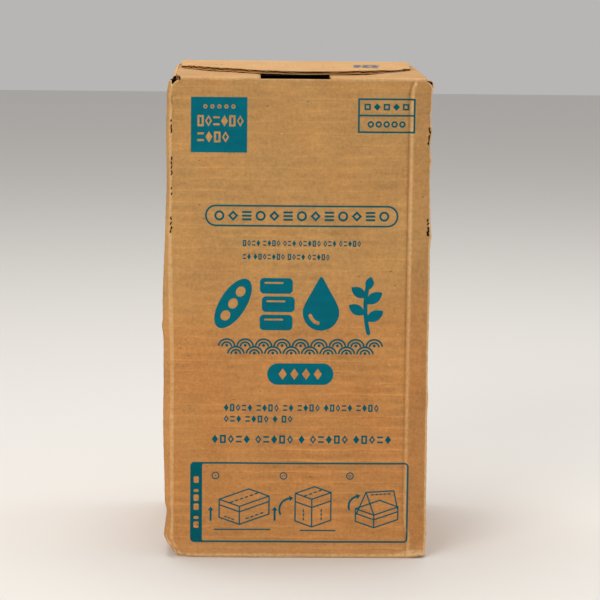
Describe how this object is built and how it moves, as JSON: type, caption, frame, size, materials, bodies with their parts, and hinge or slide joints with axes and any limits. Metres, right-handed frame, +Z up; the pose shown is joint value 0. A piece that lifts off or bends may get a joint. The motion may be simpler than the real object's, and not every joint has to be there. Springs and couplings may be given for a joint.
{
  "type": "corrugated food carton",
  "caption": "Shut upright corrugated board carton of packed chilled food, with overlapping end flaps, a finger slot and a one-colour printed front panel.",
  "frame": {"origin": "middle of the underside, on the surface the carton stands on", "axes": "+Z up along the carton's length, the printed front panel faces -Y, +X to the right seen from the front"},
  "size_m": [0.1436, 0.1338, 0.263],
  "materials": {
    "kraft_board": "matte brown kraft liner on corrugated board, with faint level flute bands",
    "flap_board": "matte kraft liner, paler where it faces up",
    "print_ink": "one-colour teal water-based ink on kraft liner"
  },
  "bodies": {
    "root": {"carton_body": "kraft_board", "left_end_flap": "flap_board", "right_end_flap": "flap_board", "front_end_flap": "flap_board", "rear_end_flap": "flap_board", "front_base_flap": "kraft_board", "rear_base_flap": "kraft_board"}
  },
  "joints": []
}
